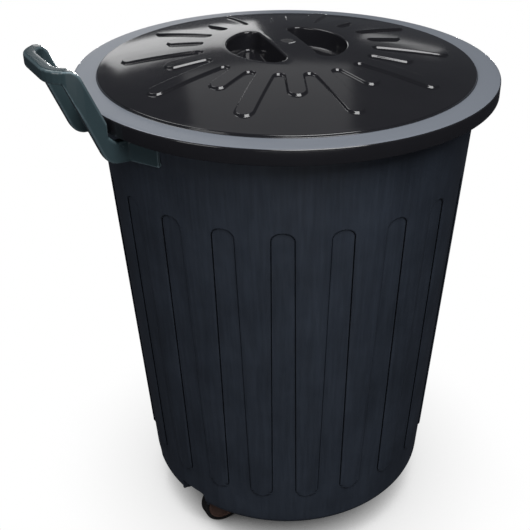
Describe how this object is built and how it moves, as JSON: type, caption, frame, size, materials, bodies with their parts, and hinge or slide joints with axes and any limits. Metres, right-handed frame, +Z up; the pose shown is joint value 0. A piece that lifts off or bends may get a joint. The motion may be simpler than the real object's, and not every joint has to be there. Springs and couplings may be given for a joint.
{
  "type": "wheeled trash can",
  "caption": "Round fluted plastic trash can with a loose domed lid, a moulded tow handle, a front foot and two small wheels on one axle.",
  "frame": {"origin": "middle of the footprint, on the ground that the wheels and the front foot stand on", "axes": "+Z up, along the bin's own axis, -X towards the tow handle and the wheels, Y along the axle"},
  "size_m": [0.5404, 0.49, 0.6527],
  "materials": {
    "bin_plastic": "satin moulded polypropylene, blue black",
    "lid_plastic": "semi-gloss moulded polypropylene, charcoal",
    "handle_plastic": "satin moulded polypropylene, slate teal",
    "screw_steel": "zinc-plated",
    "axle_steel": "drawn bar, bright",
    "cap_plastic": "satin nylon, black",
    "hub_plastic": "satin moulded polypropylene, dark brown",
    "tyre_rubber": "matt black rubber"
  },
  "bodies": {
    "root": {"bin_body": "bin_plastic", "transport_handle": "handle_plastic", "handle_screw_1": "screw_steel", "handle_screw_2": "screw_steel", "handle_screw_3": "screw_steel", "handle_screw_4": "screw_steel", "axle": "axle_steel", "axle_cap_left": "cap_plastic", "axle_cap_right": "cap_plastic"},
    "lid": {"lid": "lid_plastic"},
    "wheel_left": {"wheel_hub_left": "hub_plastic", "wheel_tyre_left": "tyre_rubber"},
    "wheel_right": {"wheel_hub_right": "hub_plastic", "wheel_tyre_right": "tyre_rubber"}
  },
  "joints": [
    {"name": "lid_lift", "type": "slide", "parent": "root", "child": "lid", "axis": [0, 0, 1], "range_m": [0, 0.25]},
    {"name": "wheel_left_spin", "type": "hinge", "parent": "root", "child": "wheel_left", "pos_m": [-0.11475, 0.06405, 0.03], "axis": [0, 1, 0], "continuous": true},
    {"name": "wheel_right_spin", "type": "hinge", "parent": "root", "child": "wheel_right", "pos_m": [-0.11475, -0.06405, 0.03], "axis": [0, 1, 0], "continuous": true}
  ]
}
